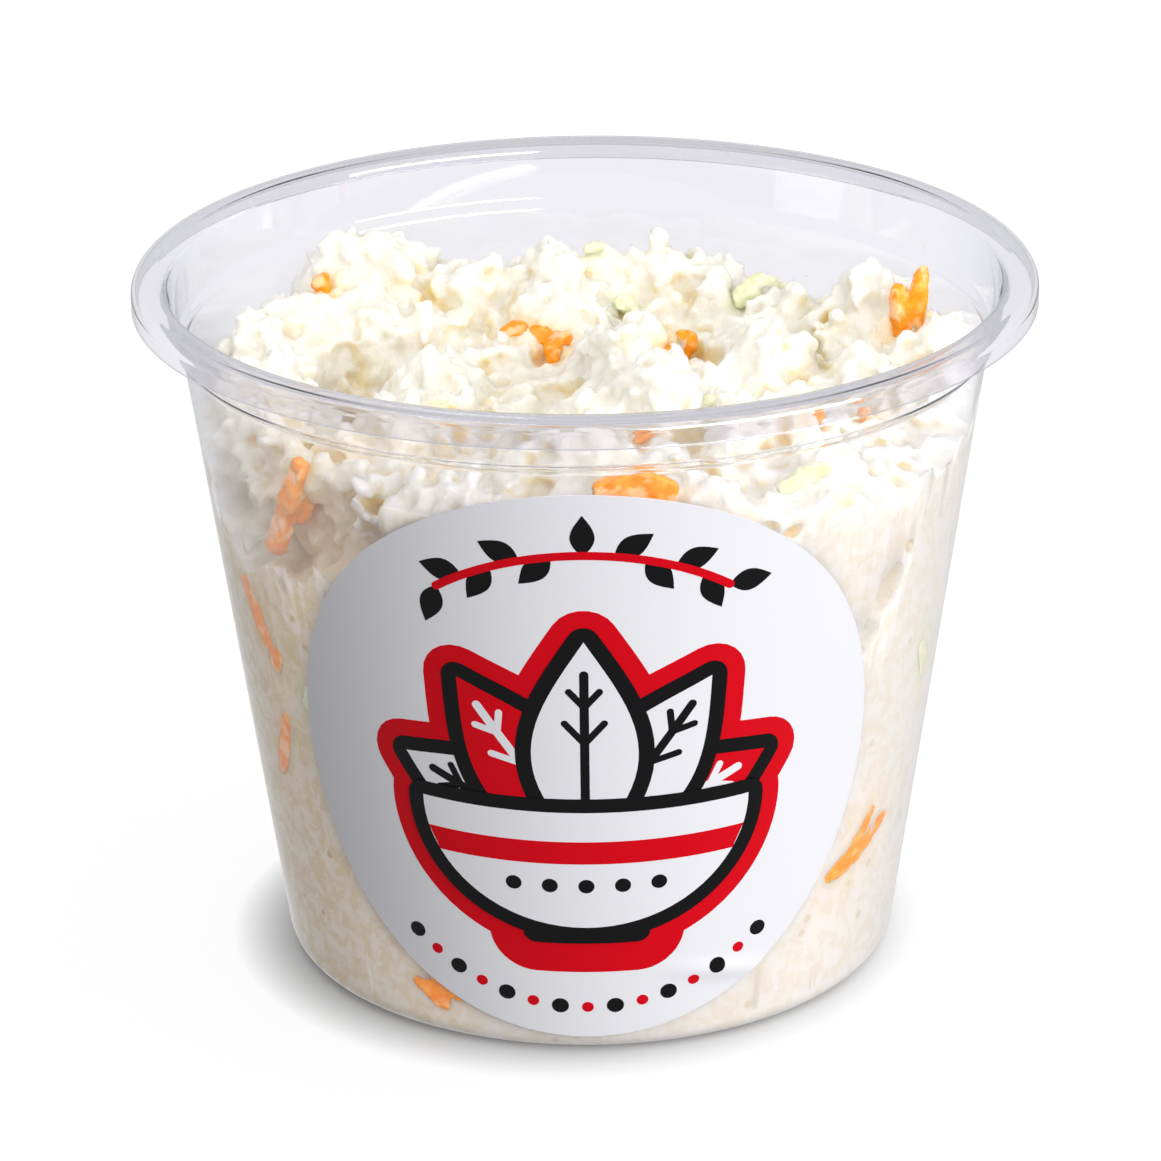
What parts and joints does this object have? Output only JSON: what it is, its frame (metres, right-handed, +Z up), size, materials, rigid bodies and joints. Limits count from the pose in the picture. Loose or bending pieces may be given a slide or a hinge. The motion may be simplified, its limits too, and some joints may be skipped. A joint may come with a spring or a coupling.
{
  "type": "coleslaw in a clear plastic cup",
  "caption": "Finely chopped creamy coleslaw with carrot shreds, heaped in an open round clear plastic cup with a rolled rim and a round paper sticker on its front.",
  "frame": {"origin": "centre of the cup's foot, on the surface that it stands on", "axes": "+Z up along the cup's axis, -Y towards the label, +X to the right of someone facing the label"},
  "size_m": [0.092, 0.092, 0.073],
  "materials": {
    "clear_plastic": "clear, glossy, thermoformed",
    "dressed_cabbage": "creamy, moist, satin",
    "label_paper": "coated paper, satin"
  },
  "bodies": {
    "root": {"cup": "clear_plastic", "coleslaw": "dressed_cabbage", "label": "label_paper"}
  },
  "joints": []
}
